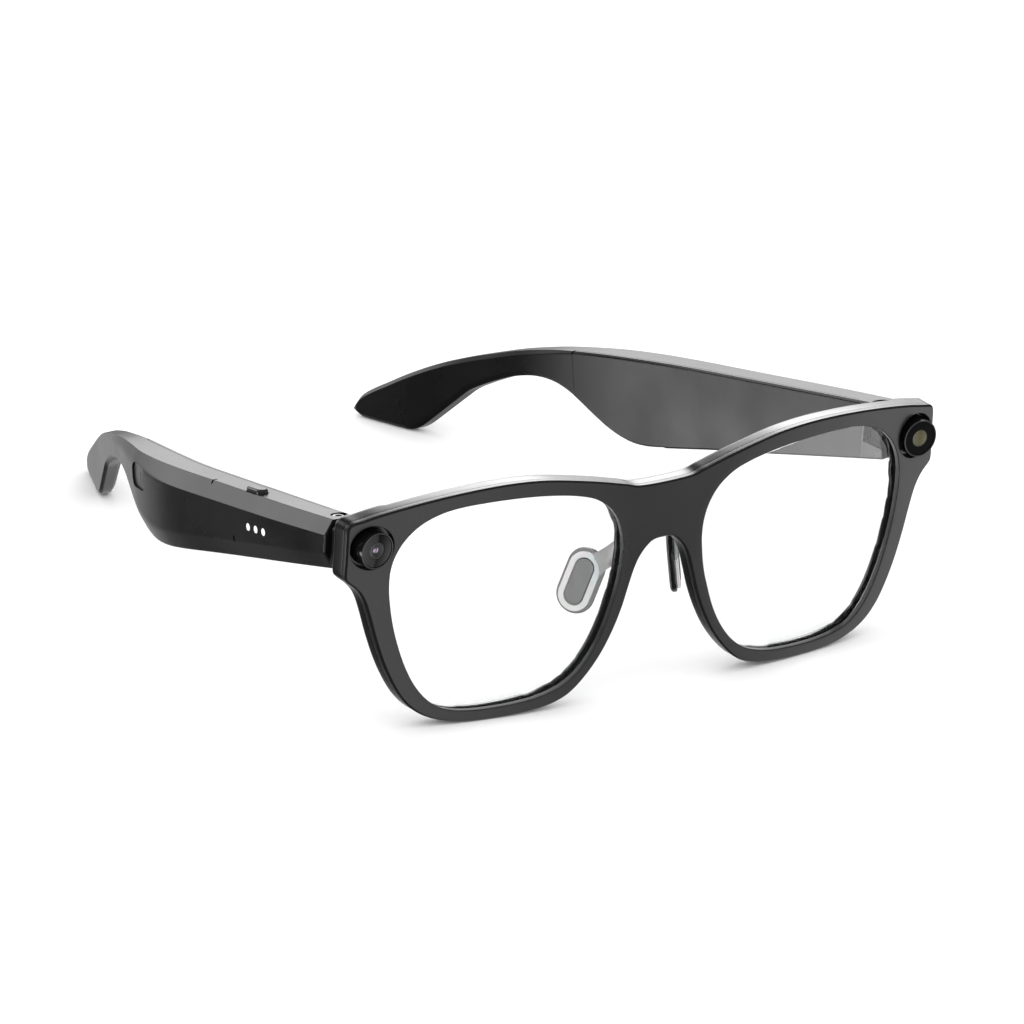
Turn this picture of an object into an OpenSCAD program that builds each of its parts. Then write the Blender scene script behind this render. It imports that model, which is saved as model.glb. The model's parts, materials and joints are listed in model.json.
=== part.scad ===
// Smart glasses: a two-layer front with clear lenses, a camera and a light in the end pieces,
// and two hollow folding temples that carry the electronics.
// Rest pose: standing on the rim bottoms and the temple tips. Front faces -Y, temples run to +Y,
// the wearer's left side is +X.

/* [Front] */
// Radius of the wrap of the front, seen from above
wrap_r = 294; // [200:1:500]
// Thickness of the front plate
plate_t = 1.4; // [1:0.1:2.5]
// Depth of the whole rim, front plate included
rim_d = 4.6; // [3.5:0.1:7]
// Depth of the end pieces
end_d = 5.2; // [4.8:0.1:8]
// How far the rear shell sits inside the outline of the front plate
rear_inset = 0.45; // [0.2:0.05:1]
// How far each lens reaches under the rim
lens_grip = 0.7; // [0.4:0.1:1.2]
// Thickness of each lens
lens_t = 1.6; // [1:0.1:2.5]

/* [Camera and light] */
// Distance of the barrel axis from the middle plane
barrel_x = 67.6; // [66:0.1:68]
// Diameter of each barrel
barrel_d = 7.95; // [7:0.05:8.2]
// Diameter of the recess around each barrel
recess_d = 9.4; // [8.6:0.1:9.6]
// Diameter of the camera lens
eye_d = 3.6; // [2:0.1:4.5]
// Diameter of the light window
lamp_d = 3.6; // [2:0.1:5]

/* [Temples] */
// Slope of the temples below the horizontal in the rest pose
arm_drop = 11.15; // [8:0.05:14]
// Distance of each hinge axis from the middle plane
hinge_x = 67.5; // [66:0.1:69]
// Thickness of the inner cover of each temple
cover_t = 1.5; // [1:0.1:2]
// Wall thickness of the temple shell
wall = 1.6; // [1.2:0.1:2]

/* [Hinges] */
// Diameter of the hinge screw shank
shank_d = 1.6; // [1.2:0.05:2]
// Diameter of the hinge screw head
head_d = 3.1; // [2.6:0.1:3.3]
// Radial running clearance of the hinge screw in its tongue
hinge_fit = 0.05; // [0.02:0.01:0.1]

/* [Button] */
// Length of the capture button along the temple
button_l = 6.2; // [4:0.1:9]
// Width of the capture button
button_w = 2.6; // [2:0.1:3.5]
// Height of the capture button above the temple
button_h = 1; // [0.6:0.1:1.4]

/* [Nose pads] */
// Height of each nose pad
pad_h = 14.5; // [11:0.1:17]
// Width of each nose pad
pad_w = 8.2; // [6:0.1:10]
// Splay of the nose pads seen from above
pad_splay = 34.7; // [20:1:45]

/* [Hidden] */
$fn = 64;
gap = 0.05;
y0 = -76.74;
z0 = 51.515;
side_x = 73;
hinge_y = 20.3;
hinge_z = -7.5;
barrel_z = -10.55;
barrel_y = 6;
pad_c = [11.8, 12.4, -29.2];
band_t = 0.9;
// Centre line of each nose bracket's band, seen from above
band = [[8.1, 4.8], [8.3, 6.6], [9, 8.4], [10.1, 9.9], [10.9, 10.75]];
toe = 6.2;
mark_a = 26.1;
mark_w = -6.6;
charge_a = 79.3;
charge_w = -4.8;
charge_turn = 20;
charge_sink = -0.4;
charge_t = 0.6;
charge_r = 2;
charge_size = [5, 8.6];
contact_step = 1.9;
contact_size = [1.9, 1.1];
contact_c = [-0.3, -1.6];
contact_t = 0.4;
button_a = 30.3;
button_x = 0.55;
// Microphone slits: places and width
slit_x = 66;
slit_a = 46.6;
slit_w = 0.6;
side_slit = [35.6, -10.1];
seam_w = -0.55;
seam_a = 88.7;
arm_front = -3.2;
neck_back = -4.1;
tongue_top = -2.8;
tongue_bot = -8.8;
slot_gap = 0.2;
slot_back = 2.8;
cover_front = 3.4;
head_floor = -1.2;

// Half of the outer outline of the front, from the top of the bridge round to its underside
outline = [
  [5.6, -5.3], [10, -4.3], [16.8, -2.65], [24.3, -1.2], [30, -0.4], [36.5, -0.1], [43, -0.3],
  [50.5, -0.95], [58, -2], [65, -3.3], [69.6, -4.45], [71.8, -5], [72.7, -5.65], [73, -6.8], [73, -9],
  [73, -13], [73, -16.7], [72.3, -17.9], [70.4, -19.5], [68.8, -21.8], [67.5, -25.2],
  [65.6, -31.3], [63.5, -36.9], [61, -41.9], [58.4, -45.6], [55.2, -48.3], [51.2, -50.1],
  [46.5, -51.15], [41, -51.5], [34.6, -51.4], [28.5, -50.9], [24, -49.9], [20.5, -48.2],
  [17, -45], [13.8, -40.9], [11.2, -36.2], [9.3, -31.6], [7.9, -27], [6.7, -23.3],
  [5.5, -20.9], [3.9, -19], [1.9, -17.8]];
// Outline of the left lens opening
opening = [
  [17.1, -6.5], [21, -5.2], [25.5, -4.35], [31, -3.75], [37, -3.5], [43, -3.55], [48.5, -3.9],
  [53, -4.8], [57.2, -6.7], [60.4, -9.6], [62.3, -12.7], [63.2, -15.7], [63.4, -18.8],
  [63.1, -22.6], [62.2, -27.6], [60.8, -32.6], [58.9, -37.6], [56.4, -42.2], [53.2, -45.8],
  [49.4, -47.9], [44, -48.85], [37, -48.95], [30, -48.45], [25, -47.3], [21.5, -45.7],
  [18.5, -43.2], [15.8, -39.7], [13.6, -35.5], [12, -31], [10.7, -26.5], [10, -22],
  [9.8, -18.5], [10.2, -15.2], [11.4, -11.9], [13.6, -8.9]];

// Temple tables: distance behind the hinge axis, then the value there
inner_x = [[-6, 66], [14.5, 63.8], [30, 62.1], [43, 60.7], [59.6, 58.7], [73.5, 56],
  [86.8, 52.8], [99, 49], [110, 44.4], [119, 40.3], [128, 36.2], [139, 31.4]];
outer_x = [[-6, 73.25], [17.5, 71.4], [43, 68.7], [60, 66.9], [70, 65.2], [80, 62.5], [87, 59.6],
  [94, 56.5], [102, 52.9], [110, 49], [119, 44.5], [128, 40], [139, 34.7]];
top_w = [[-6, 0], [60, 0], [80, 0], [88.7, -0.15], [95, -0.5], [102.7, -1.4], [109.6, -2.7],
  [116.2, -4.2], [121.4, -5.8], [127.2, -8.1], [131.5, -10.1], [134.5, -11.5], [136.6, -12.7],
  [137.8, -13.8], [138.5, -14.9], [138.8, -15.7]];
low_w = [[-6, -11.05], [8.3, -12.4], [28.3, -14.3], [52.5, -16.7], [63, -17.75], [68.5, -18.1],
  [73.5, -17.9], [77, -17], [80.6, -15.4], [84.2, -13.1], [87.4, -10.8], [90.8, -8.6], [94.8, -7],
  [99.3, -6.4], [104, -6.9], [107.5, -7.9], [111, -9.2], [114, -10.6], [116.5, -12.5],
  [119.3, -14.7], [122.2, -17], [124.6, -18.8], [126.6, -19.6], [128.6, -19.45],
  [131, -19], [133.6, -18.5], [136, -18], [137.5, -17.6], [138.4, -16.9], [138.8, -16.1]];
up_cut_x = [[-6, 1.9], [60, 2], [75, 1.6], [88, 1.2], [100, 0.9], [139, 0.7]];
up_cut_w = [[-6, 3.1], [60, 3.4], [75, 3.1], [88, 1.9], [100, 1], [139, 0.7]];
low_cut_x = [[-6, 2.5], [60, 2.3], [75, 1.8], [88, 1.1], [100, 0.9], [139, 0.7]];
low_cut_w = [[-6, 3.7], [60, 3.8], [75, 3.3], [88, 1.8], [100, 1], [139, 0.7]];
low_slant = [[-6, 0.8], [60, 0.7], [80, 0.5], [100, 0], [139, 0]];
in_cut = [[-6, 0.4], [85, 0.4], [100, 0.9], [139, 0.9]];
stations = concat([-6, -3], [for (i = [0:14]) 1 + i * 4.5], [for (i = [0:33]) 67 + i * 2],
  [134.6, 136, 137.2, 138, 138.5, 138.8]);

// ---- helpers ----
function curve(p0, p1, p2, p3, t) = 0.5 * (2 * p1 + (p2 - p0) * t
  + (2 * p0 - 5 * p1 + 4 * p2 - p3) * t * t + (3 * p1 - p0 - 3 * p2 + p3) * t * t * t);
// Closed smooth loop through the points, n steps on each span
function loop(p, n) = let (c = len(p)) [for (i = [0:c - 1], j = [0:n - 1])
  curve(p[(i + c - 1) % c], p[i], p[(i + 1) % c], p[(i + 2) % c], j / n)];
// Loop moved outward by d (points run clockwise)
function grow(p, d) = let (c = len(p)) [for (i = [0:c - 1])
  let (v = p[(i + 1) % c] - p[(i + c - 1) % c]) p[i] + d * [-v[1], v[0]] / norm(v)];
function flip(p) = [for (i = [len(p) - 1:-1:0]) [-p[i][0], p[i][1]]];
function row_at(a, t, i = 1) = (i >= len(t) - 1 || a <= t[i][0]) ? i : row_at(a, t, i + 1);
function slope(t, i) = i <= 0 ? (t[1][1] - t[0][1]) / (t[1][0] - t[0][0])
  : i >= len(t) - 1 ? (t[i][1] - t[i - 1][1]) / (t[i][0] - t[i - 1][0])
  : (t[i + 1][1] - t[i - 1][1]) / (t[i + 1][0] - t[i - 1][0]);
// Smooth value of a table at a
function at(a, t) = let (i = row_at(a, t), h = t[i][0] - t[i - 1][0], s = (a - t[i - 1][0]) / h)
  (1 + 2 * s) * (1 - s) * (1 - s) * t[i - 1][1] + s * (1 - s) * (1 - s) * h * slope(t, i - 1)
  + s * s * (3 - 2 * s) * t[i][1] + s * s * (s - 1) * h * slope(t, i);
// Eight-sided cross-section of a temple
function section(a) = let (xi = at(a, inner_x), xo = at(a, outer_x), wt = at(a, top_w),
    wb = at(a, low_w), k = 0.42 * (wt - wb), ci = min(at(a, in_cut), k),
    uw = min(at(a, up_cut_w), k), lw = min(at(a, low_cut_w), k),
    ux = at(a, up_cut_x), lx = at(a, low_cut_x), sl = at(a, low_slant))
  [[xi + ci, a, wt], [xo - ux, a, wt], [xo, a, wt - uw], [xo, a, wb + sl + lw],
   [xo - lx, a, wb + sl], [xi + ci, a, wb], [xi, a, wb + ci], [xi, a, wt - ci]];

module skin(rings) {
  n = len(rings[0]);
  m = len(rings);
  polyhedron(points = [for (r = rings) each r], faces = concat(
    [[for (i = [n - 1:-1:0]) i]],
    [[for (i = [0:n - 1]) (m - 1) * n + i]],
    [for (j = [0:m - 2], i = [0:n - 1], h = [0, 1]) let (a = j * n + i,
       b = j * n + (i + 1) % n) h == 0 ? [a, b, b + n] : [a, b + n, a + n]]), convexity = 6);
}
module place() translate([0, y0, z0]) children();
module sided(s) mirror([s < 0 ? 1 : 0, 0, 0]) children();
// Children drawn in the frame of a temple: X as it is, Y back from the hinge axis, Z up from its top
module temple(s) place() sided(s) translate([0, hinge_y, hinge_z]) rotate([-arm_drop, 0, 0])
  children();
// Children turned from the frame of a temple to upright, about its hinge point
module upright() rotate([arm_drop, 0, 0]) children();
// Shape in the XZ plane pushed through the front from y = -20 to 40
module through_y() translate([0, 40, 0]) rotate([90, 0, 0]) linear_extrude(60) children();
// Layer of the wrapped front between depths a and b
module layer(a, b) translate([0, wrap_r, -70]) difference() {
  cylinder(r = wrap_r - a, h = 90, $fn = 360);
  translate([0, 0, -1]) cylinder(r = wrap_r - b, h = 92, $fn = 360);
}
module whole_outline(d) polygon(grow(loop(concat(outline, flip(outline)), 3), d));
module hole(d, s) sided2(s) polygon(grow(loop(opening, 3), d));
module sided2(s) mirror([s < 0 ? 1 : 0, 0]) children();
module both_holes(d) { hole(d, 1); hole(d, -1); }
module pill(l, w) { square([l - w, w], center = true); for (s = [-1, 1])
  translate([s * (l - w) / 2, 0]) circle(d = w); }
module disc_y(d, a, b) translate([0, b, 0]) rotate([90, 0, 0]) cylinder(d = d, h = b - a);
module barrel_at(s) sided(s) translate([barrel_x, 0, barrel_z]) children();
// Strip that follows the brow across the whole width
function brow(lo, hi) = let (t = [for (i = [0:9]) outline[i]]) concat(
  [for (i = [9:-1:0]) [-t[i][0], t[i][1] + hi]], [for (p = t) p + [0, hi]],
  [for (i = [9:-1:0]) t[i] + [0, lo]], [for (p = t) [-p[0], p[1] + lo]]);

// ---- front ----
module front_frame() color("dimgray") place() difference() {
  intersection() {
    through_y() whole_outline(0);
    layer(0, plate_t);
  }
  through_y() both_holes(0);
  for (s = [-1, 1]) barrel_at(s) disc_y(recess_d, -5, 30);
}
module rear_frame() color("black") place() difference() {
  union() {
    intersection() {
      through_y() whole_outline(-rear_inset);
      layer(plate_t + gap, rim_d);
    }
    for (s = [-1, 1]) intersection() {
      through_y() whole_outline(-rear_inset);
      layer(plate_t + gap, end_d);
      sided(s) translate([63, 0, -20]) cube([12, 30, 18]);
    }
  }
  intersection() {
    through_y() both_holes(lens_grip + 0.2);
    layer(0, plate_t + lens_t + 0.5);
  }
  through_y() both_holes(0);
  intersection() {
    through_y() polygon(brow(-2.1, -0.9));
    layer(0, plate_t + 0.7);
  }
  for (s = [-1, 1]) {
    barrel_at(s) disc_y(barrel_d + 0.2, -5, 10.9);
    barrel_at(s) translate([-2.9, 0, -3.7]) cube([6.6, 11.8, 7.4]);
  }
}
module lens(s) place() intersection() {
  through_y() hole(lens_grip, s);
  layer(plate_t + 0.2, plate_t + 0.2 + lens_t);
}
module lens_right() color("lightcyan", 0.4) lens(-1);
module lens_left() color("lightcyan", 0.4) lens(1);
module barrel(s, bore) place() barrel_at(s) difference() {
  disc_y(barrel_d, barrel_y, 10.6);
  disc_y(barrel_d - 0.7, barrel_y - 1, barrel_y + 1);
  disc_y(bore, barrel_y, 12);
}
module camera_barrel() color("black") barrel(-1, eye_d + 0.1);
module light_barrel() color("black") barrel(1, lamp_d + 0.1);
module camera_window() color("darkslategray") place() barrel_at(-1)
  disc_y(barrel_d - 0.8, barrel_y + 0.15, barrel_y + 0.95);
module camera_lens() color("purple") place() barrel_at(-1) disc_y(eye_d, barrel_y + 1.1, 10.9);
module camera_board() color("green") place() barrel_at(-1)
  translate([-2.6, 11, -3.4]) cube([6, 0.6, 6.8]);
module light_window() color("olive") place() barrel_at(1) difference() {
  disc_y(barrel_d - 0.8, barrel_y + 0.15, barrel_y + 0.95);
  disc_y(lamp_d + 2, barrel_y + 0.5, barrel_y + 2);
}
module light_board() color("green") place() barrel_at(1) {
  translate([-2.6, 11, -3.4]) cube([6, 0.6, 6.8]);
  disc_y(lamp_d - 0.4, 8.2, 11);
}
module brow_cable() color("orange") place() intersection() {
  through_y() polygon(brow(-1.95, -1.05));
  layer(plate_t + 0.2, plate_t + 0.5);
}
// Neck behind an end piece, with the tongue that the temple turns on
module hinge_neck(s) color("black") difference() {
  union() {
    intersection() {
      place() layer(end_d + 2 * gap, 2.5 * end_d);
      temple(s) upright() translate([65.9, -9, -9.3]) cube([6.4, 9 + neck_back, 9.2]);
    }
    temple(s) upright() translate([0, 0, tongue_bot]) {
      translate([hinge_x, 0, 0]) cylinder(r = 2.4, h = tongue_top - tongue_bot);
      translate([hinge_x - 1.6, neck_back - 1, 0])
        cube([4, 1 - neck_back, tongue_top - tongue_bot]);
    }
  }
  temple(s) upright() translate([hinge_x, 0, -20]) cylinder(d = shank_d + 2 * hinge_fit, h = 30);
}
module hinge_neck_right() hinge_neck(-1);
module hinge_neck_left() hinge_neck(1);

// ---- nose pads ----
module pad_frame(s) place() sided(s) translate(pad_c) rotate([0, 0, -pad_splay])
  rotate([16, -7.4, 0]) children();
module flat_pill(l, w, a, b) translate([a, 0, 0]) rotate([0, 90, 0]) linear_extrude(b - a) pill(l, w);
module nose_pad(s) color("silver", 0.6) pad_frame(s) {
  flat_pill(pad_h, pad_w, -1.2, 0.3);
  flat_pill(pad_h - 5.2, pad_w - 4, 0.3, 1.2);
}
// Springy bracket: a ring behind the pad on a band that comes from the back of the rim
module nose_bracket(s) color("whitesmoke") {
  pad_frame(s) difference() {
    flat_pill(pad_h - 2.4, pad_w - 1.6, 0.35, 1.05);
    flat_pill(pad_h - 5.1, pad_w - 3.9, 0, 2);
  }
  place() sided(s) translate([0, 0, -23.9]) linear_extrude(6.5)
    polygon(concat([for (p = band) p - [band_t / 2, 0]],
      [for (i = [len(band) - 1:-1:0]) band[i] + [band_t / 2, 0]]));
}
module nose_pad_right() nose_pad(-1);
module nose_pad_left() nose_pad(1);
module nose_bracket_right() nose_bracket(-1);
module nose_bracket_left() nose_bracket(1);

// ---- temples ----
// Plan strip between two offsets from the inner and outer lines
module plan(a0, a1, d_in, d_out, from_outer) {
  as = [for (i = [0:20]) a0 + (a1 - a0) * i / 20];
  polygon(concat([for (a = as) [at(a, inner_x) + d_in, a]],
    [for (i = [20:-1:0]) [from_outer ? at(as[i], outer_x) - d_out
      : at(as[i], inner_x) + d_out, as[i]]]));
}
module side_shape(a0, a1, d_top, d_low) {
  as = [for (i = [0:20]) a0 + (a1 - a0) * i / 20];
  polygon(concat([for (a = as) [a, at(a, top_w) - d_top]],
    [for (i = [20:-1:0]) [as[i], at(as[i], low_w) + d_low]]));
}
// Side shape pushed through a temple along X
module through_x() rotate([90, 0, 90]) linear_extrude(90) children();
module temple_solid() skin([for (a = stations) section(a)]);
module cavity() intersection() {
  translate([0, 0, -30]) linear_extrude(40) plan(6.2, 84, cover_t - 0.2, wall, true);
  through_x() side_shape(6.2, 84, wall, 2.4);
}
module cover_cut(c) intersection() {
  translate([0, 0, -30]) linear_extrude(30 + seam_w + c)
    plan(1, seam_a + c, -3, cover_t + c, false);
  upright() translate([0, cover_front - c, -60]) cube([90, 150, 90]);
}
module temple_shell(s) color("dimgray") temple(s) difference() {
  temple_solid();
  cover_cut(gap);
  cavity();
  upright() {
    translate([40, arm_front - 20, -30]) cube([50, 20, 60]);
    translate([0, -10, tongue_bot - slot_gap])
      cube([hinge_x + slot_back, 10 + slot_back, tongue_top - tongue_bot + 2 * slot_gap]);
    translate([hinge_x, 0, -20]) cylinder(d = shank_d + 0.02, h = 30);
    translate([hinge_x, 0, head_floor]) cylinder(d = head_d + 0.4, h = 5);
  }
  if (s < 0) {
    button_place() translate([0, 0, -3]) linear_extrude(6) pill(button_l + 0.4, button_w + 0.4);
    translate([slit_x, slit_a, -2]) linear_extrude(4) pill(1.6, slit_w);
    translate([66, side_slit[0], side_slit[1]]) rotate([90, 0, 90]) linear_extrude(6) rotate(90)
      pill(1.4, slit_w);
    charge_pocket();
    mark_place() for (i = [-1:1]) translate([0, 3.2 * i, 0]) rotate([0, 90, 0])
      cylinder(d = 1.7, h = 3);
  }
}
module temple_cover(s) color("darkslategray") temple(s) difference() {
  intersection() {
    temple_solid();
    cover_cut(0);
  }
  translate([0, 0, -22]) speaker_place() linear_extrude(9) pill(5.8, 1.2);
}
module temple_shell_right() temple_shell(-1);
module temple_shell_left() temple_shell(1);
module temple_cover_right() temple_cover(-1);
module temple_cover_left() temple_cover(1);
module hinge_screw(s) color("silver") temple(s) upright() translate([hinge_x, 0, head_floor])
  difference() {
    union() {
      translate([0, 0, 0.03]) cylinder(d = head_d, h = 0.75);
      translate([0, 0, -9.4]) cylinder(d = shank_d, h = 9.6);
    }
    translate([0, 0, 0.4]) cylinder(d = 1.3, h = 1, $fn = 6);
  }
module hinge_screw_right() hinge_screw(-1);
module hinge_screw_left() hinge_screw(1);
// Child centred in the cavity at distance a, turned along the temple
module inside(a, w, turn = toe) translate([(at(a, inner_x) + cover_t + at(a, outer_x) - wall) / 2,
  a, w]) rotate([0, 0, turn]) children();
module battery(s, a, w, l, h) color("slategray") temple(s) inside(a, w) cube([3.6, l, h], center = true);
module battery_right() battery(-1, 57, -7.2, 17, 9);
module battery_left() battery(1, 32, -6.4, 38, 7.8);
module main_board() color("green") temple(-1) inside(25.5, -6.6)
  translate([0.6, 0, 0]) cube([0.8, 33, 6.2], center = true);
module processor() color("black") temple(-1) inside(18, -6.2)
  translate([-0.45, 0, 0]) cube([1.2, 7, 5.4], center = true);
module audio_board() color("green") temple(1) inside(57.5, -8.4) cube([0.8, 12, 9], center = true);
module speaker(s) color("gray") temple(s) inside(73.5, -9.2, 15) rotate([0, 90, 0])
  cylinder(d = 8.6, h = 3.4, center = true);
module speaker_right() speaker(-1);
module speaker_left() speaker(1);
module speaker_place() translate([at(68, inner_x) + 0.8, 68, 0]) rotate([0, 0, 9]) rotate(90)
  children();
module speaker_mesh(s) color("silver") temple(s) translate([0, 0, -17.7]) speaker_place()
  linear_extrude(0.4) pill(5.7, 1.1);
module speaker_mesh_right() speaker_mesh(-1);
module speaker_mesh_left() speaker_mesh(1);
module side_microphone() color("gold") temple(-1) inside(side_slit[0], side_slit[1])
  translate([1.75, 0, 0]) cube([1, 2.6, 1.8], center = true);
module top_microphone() color("gold") temple(-1) inside(slit_a, -2.3)
  translate([0.8, -1.2, 0]) cube([2.2, 2.2, 1], center = true);

// ---- button ----
module button_place() translate([(at(button_a, inner_x) + at(button_a, outer_x)) / 2 + button_x,
  button_a, 0]) rotate([0, 0, toe + 90]) children();
module capture_button() color("black") temple(-1) button_place() translate([0, 0, -1.4])
  linear_extrude(1.4 + button_h) pill(button_l, button_w);
module button_switch() color("silver") temple(-1) button_place() translate([0, 0, -2.7])
  cube([4.2, 2.2, 1.2], center = true);

// ---- charging pad and mark ----
// Shape on the charging face: X down the temple's side, Y back along it, Z outward
module charge_at(d) translate([at(charge_a, outer_x) + d, charge_a, charge_w])
  rotate([0, 0, charge_turn]) rotate([0, 90, 0]) children();
module round_square(l, w, r) {
  square([l - 2 * r, w], center = true);
  square([l, w - 2 * r], center = true);
  for (i = [-1, 1], j = [-1, 1]) translate([i * (l / 2 - r), j * (w / 2 - r)]) circle(r = r);
}
module charge_pocket() charge_at(charge_sink - charge_t - gap) linear_extrude(4)
  round_square(charge_size[0] + 2 * gap, charge_size[1] + 2 * gap, charge_r + gap);
module charge_pad() color("gray") temple(-1) difference() {
  charge_at(charge_sink - charge_t) linear_extrude(charge_t)
    round_square(charge_size[0], charge_size[1], charge_r);
  contact_pills(0.03, 2 * contact_t);
}
module contact_pills(c, h) charge_at(charge_sink - contact_t - gap - c) translate(contact_c)
  for (i = [-1, 1]) translate([0, contact_step / 2 * i, 0]) linear_extrude(h)
    pill(contact_size[0] + 2 * c, contact_size[1] + 2 * c);
module charge_contacts() color("silver") temple(-1) contact_pills(0, contact_t);
module mark_place() translate([at(mark_a, outer_x) - 0.4, mark_a, mark_w]) rotate([0, 0, toe])
  children();
module mark_dots() color("white") temple(-1) mark_place() for (i = [-1:1])
  translate([0, 3.2 * i, 0]) rotate([0, 90, 0]) cylinder(d = 1.6, h = 0.35);

front_frame();
rear_frame();
lens_right();
lens_left();
camera_barrel();
camera_window();
camera_lens();
camera_board();
light_barrel();
light_window();
light_board();
brow_cable();
hinge_neck_right();
hinge_neck_left();
nose_bracket_right();
nose_bracket_left();
nose_pad_right();
nose_pad_left();
temple_shell_right();
temple_cover_right();
hinge_screw_right();
battery_right();
main_board();
processor();
speaker_right();
speaker_mesh_right();
side_microphone();
top_microphone();
button_switch();
charge_pad();
charge_contacts();
mark_dots();
capture_button();
temple_shell_left();
temple_cover_left();
hinge_screw_left();
battery_left();
audio_board();
speaker_left();
speaker_mesh_left();
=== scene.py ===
import json
import math

import bmesh
import bpy
import numpy as np
from mathutils import Matrix, Vector
from mathutils.geometry import delaunay_2d_cdt


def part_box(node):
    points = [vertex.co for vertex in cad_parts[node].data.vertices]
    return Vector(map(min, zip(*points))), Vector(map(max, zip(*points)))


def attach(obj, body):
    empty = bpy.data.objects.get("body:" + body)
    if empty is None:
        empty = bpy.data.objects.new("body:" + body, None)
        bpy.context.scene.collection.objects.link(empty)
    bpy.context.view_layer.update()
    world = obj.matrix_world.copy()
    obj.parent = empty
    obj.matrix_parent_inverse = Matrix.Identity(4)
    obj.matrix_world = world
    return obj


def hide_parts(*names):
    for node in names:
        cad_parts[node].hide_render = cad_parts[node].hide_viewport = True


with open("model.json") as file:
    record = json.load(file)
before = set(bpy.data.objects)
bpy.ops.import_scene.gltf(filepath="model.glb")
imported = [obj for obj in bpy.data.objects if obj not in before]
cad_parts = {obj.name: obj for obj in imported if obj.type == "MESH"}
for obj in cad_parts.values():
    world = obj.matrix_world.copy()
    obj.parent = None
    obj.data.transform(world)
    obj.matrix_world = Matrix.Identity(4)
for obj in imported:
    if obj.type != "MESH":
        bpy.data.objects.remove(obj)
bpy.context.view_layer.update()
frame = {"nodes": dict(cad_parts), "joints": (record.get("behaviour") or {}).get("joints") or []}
MM = 0.001
SIDES = ((-1, "right"), (1, "left"))


def box_mm(node):
    lo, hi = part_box(node)
    return np.array(lo) / MM, np.array(hi) / MM


# ---------------------------------------------------------------- shape tables
# Half of the outer outline of the front: across, then down from the top
OUTLINE = [(5.6, -5.3), (10, -4.3), (16.8, -2.65), (24.3, -1.2), (30, -0.4), (36.5, -0.1),
           (43, -0.3), (50.5, -0.95), (58, -2), (65, -3.3), (69.6, -4.45), (71.8, -5),
           (72.7, -5.65), (73, -6.8), (73, -9), (73, -13), (73, -16.7), (72.3, -17.9),
           (70.4, -19.5), (68.8, -21.8), (67.5, -25.2), (65.6, -31.3), (63.5, -36.9), (61, -41.9),
           (58.4, -45.6), (55.2, -48.3), (51.2, -50.1), (46.5, -51.15), (41, -51.5),
           (34.6, -51.4), (28.5, -50.9), (24, -49.9), (20.5, -48.2), (17, -45), (13.8, -40.9),
           (11.2, -36.2), (9.3, -31.6), (7.9, -27), (6.7, -23.3), (5.5, -20.9), (3.9, -19),
           (1.9, -17.8)]
# Outline of the left lens opening, clockwise from its inner top
OPENING = [(17.1, -6.5), (21, -5.2), (25.5, -4.35), (31, -3.75), (37, -3.5), (43, -3.55),
           (48.5, -3.9), (53, -4.8), (57.2, -6.7), (60.4, -9.6), (62.3, -12.7), (63.2, -15.7),
           (63.4, -18.8), (63.1, -22.6), (62.2, -27.6), (60.8, -32.6), (58.9, -37.6),
           (56.4, -42.2), (53.2, -45.8), (49.4, -47.9), (44, -48.85), (37, -48.95),
           (30, -48.45), (25, -47.3), (21.5, -45.7), (18.5, -43.2), (15.8, -39.7),
           (13.6, -35.5), (12, -31), (10.7, -26.5), (10, -22), (9.8, -18.5), (10.2, -15.2),
           (11.4, -11.9), (13.6, -8.9)]
# Temple tables: distance behind the hinge axis, then the value there
INNER_X = [(-6, 66), (14.5, 63.8), (30, 62.1), (43, 60.7), (59.6, 58.7), (73.5, 56),
           (86.8, 52.8), (99, 49), (110, 44.4), (119, 40.3), (128, 36.2), (139, 31.4)]
OUTER_X = [(-6, 73.25), (17.5, 71.4), (43, 68.7), (60, 66.9), (70, 65.2), (80, 62.5),
           (87, 59.6), (94, 56.5), (102, 52.9), (110, 49), (119, 44.5), (128, 40), (139, 34.7)]
TOP_W = [(-6, 0), (60, 0), (80, 0), (88.7, -0.15), (95, -0.5), (102.7, -1.4), (109.6, -2.7),
         (116.2, -4.2), (121.4, -5.8), (127.2, -8.1), (131.5, -10.1), (134.5, -11.5),
         (136.6, -12.7), (137.8, -13.8), (138.5, -14.9), (138.8, -15.7)]
LOW_W = [(-6, -11.05), (8.3, -12.4), (28.3, -14.3), (52.5, -16.7), (63, -17.75),
         (68.5, -18.1), (73.5, -17.9), (77, -17), (80.6, -15.4), (84.2, -13.1), (87.4, -10.8),
         (90.8, -8.6), (94.8, -7), (99.3, -6.4), (104, -6.9), (107.5, -7.9), (111, -9.2),
         (114, -10.6), (116.5, -12.5), (119.3, -14.7), (122.2, -17), (124.6, -18.8),
         (126.6, -19.6), (128.6, -19.45), (131, -19), (133.6, -18.5), (136, -18),
         (137.5, -17.6), (138.4, -16.9), (138.8, -16.1)]
UP_CUT_X = [(-6, 1.9), (60, 2), (75, 1.6), (88, 1.2), (100, 0.9), (139, 0.7)]
UP_CUT_W = [(-6, 3.1), (60, 3.4), (75, 3.1), (88, 1.9), (100, 1), (139, 0.7)]
LOW_CUT_X = [(-6, 2.5), (60, 2.3), (75, 1.8), (88, 1.1), (100, 0.9), (139, 0.7)]
LOW_CUT_W = [(-6, 3.7), (60, 3.8), (75, 3.3), (88, 1.8), (100, 1), (139, 0.7)]
LOW_SLANT = [(-6, 0.8), (60, 0.7), (80, 0.5), (100, 0), (139, 0)]
IN_CUT = [(-6, 0.4), (85, 0.4), (100, 0.9), (139, 0.9)]

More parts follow.
